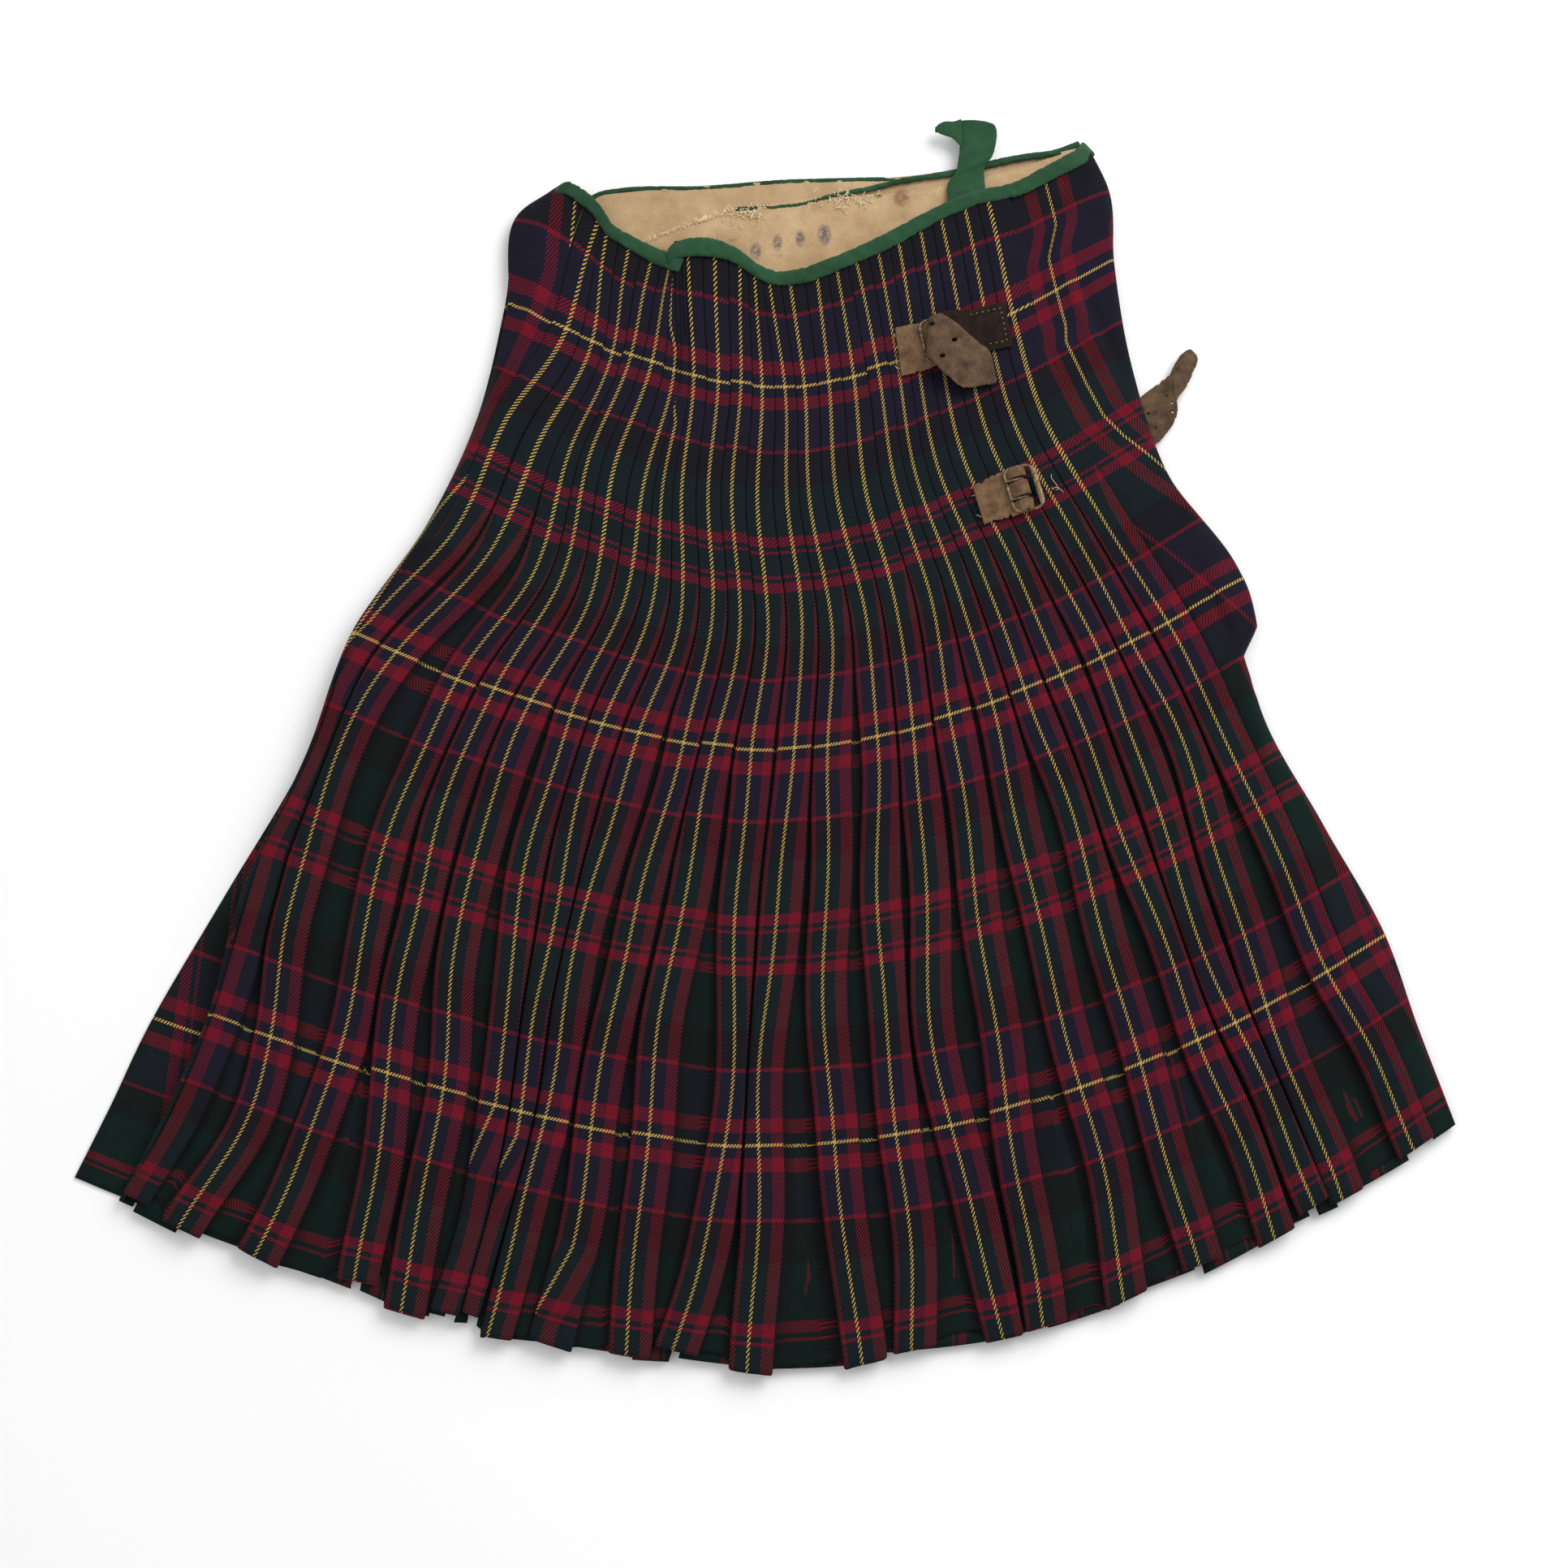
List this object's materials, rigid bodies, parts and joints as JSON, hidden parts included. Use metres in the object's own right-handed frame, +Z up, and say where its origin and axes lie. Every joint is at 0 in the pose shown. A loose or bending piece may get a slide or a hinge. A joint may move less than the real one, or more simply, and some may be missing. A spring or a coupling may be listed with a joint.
{
  "type": "kilt",
  "caption": "Pleated tartan kilt laid flat with its back up: bound waist, drill lining, hanger loop, leather straps and buckles.",
  "frame": {"origin": "middle of the floor that the kilt covers, at the height of the surface it lies on", "axes": "+Z up, out of the surface; +Y from the hem towards the waist; +X to the right as seen from above with the waist away"},
  "size_m": [0.7388, 0.7203, 0.025],
  "materials": {
    "tartan": "woven wool twill, matt",
    "tartan_apron": "woven wool twill, matt",
    "drill": "cotton drill, worn",
    "tape": "woven tape",
    "leather": "suede side, worn",
    "leather_pale": "worn tan",
    "steel": "tarnished, plating worn through"
  },
  "bodies": {
    "kilt": {"over_apron": "tartan_apron", "under_apron": "tartan_apron", "over_apron_lining": "drill", "under_apron_lining": "drill", "over_apron_binding": "tape", "under_apron_binding": "tape", "back_pleats": "tartan", "back_waist_binding": "tape", "hanger_loop": "tape", "side_strap": "leather", "upper_strap": "leather", "upper_chape": "leather_pale", "upper_buckle": "steel", "lower_chape": "leather_pale", "lower_buckle": "steel"},
    "upper_prong": {"upper_prong": "steel"},
    "lower_prong": {"lower_prong": "steel"}
  },
  "joints": [
    {"name": "upper_prong_swing", "type": "hinge", "parent": "kilt", "child": "upper_prong", "pos_m": [0.14205, 0.13341, 0.0184], "axis": [-0.2588, 0.9659, 0], "range_deg": [0, 150]},
    {"name": "lower_prong_swing", "type": "hinge", "parent": "kilt", "child": "lower_prong", "pos_m": [0.14495, 0.12259, 0.0184], "axis": [-0.2588, 0.9659, 0], "range_deg": [0, 150]}
  ]
}
